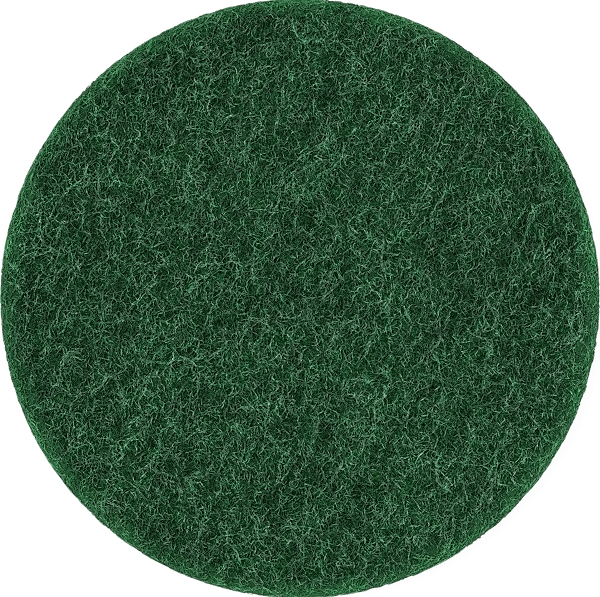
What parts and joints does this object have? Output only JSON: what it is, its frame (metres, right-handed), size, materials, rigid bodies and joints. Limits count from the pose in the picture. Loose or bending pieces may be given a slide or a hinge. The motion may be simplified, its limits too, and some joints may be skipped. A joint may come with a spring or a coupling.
{
  "type": "surface conditioning disc",
  "caption": "Round green pad of open non-woven abrasive web, with a flat back and a soft die-cut rim, for cleaning, blending and dulling surfaces.",
  "frame": {"origin": "centre of the flat back, on the plane that the disc lies on", "axes": "+Z points out of the working face; +X and +Y lie in the plane of the back, and the round disc has no marked direction in it"},
  "size_m": [0.1249, 0.1248, 0.01],
  "materials": {
    "green_web": "matt fibre web with a faint resin gloss"
  },
  "bodies": {
    "root": {"abrasive_disc": "green_web"}
  },
  "joints": []
}
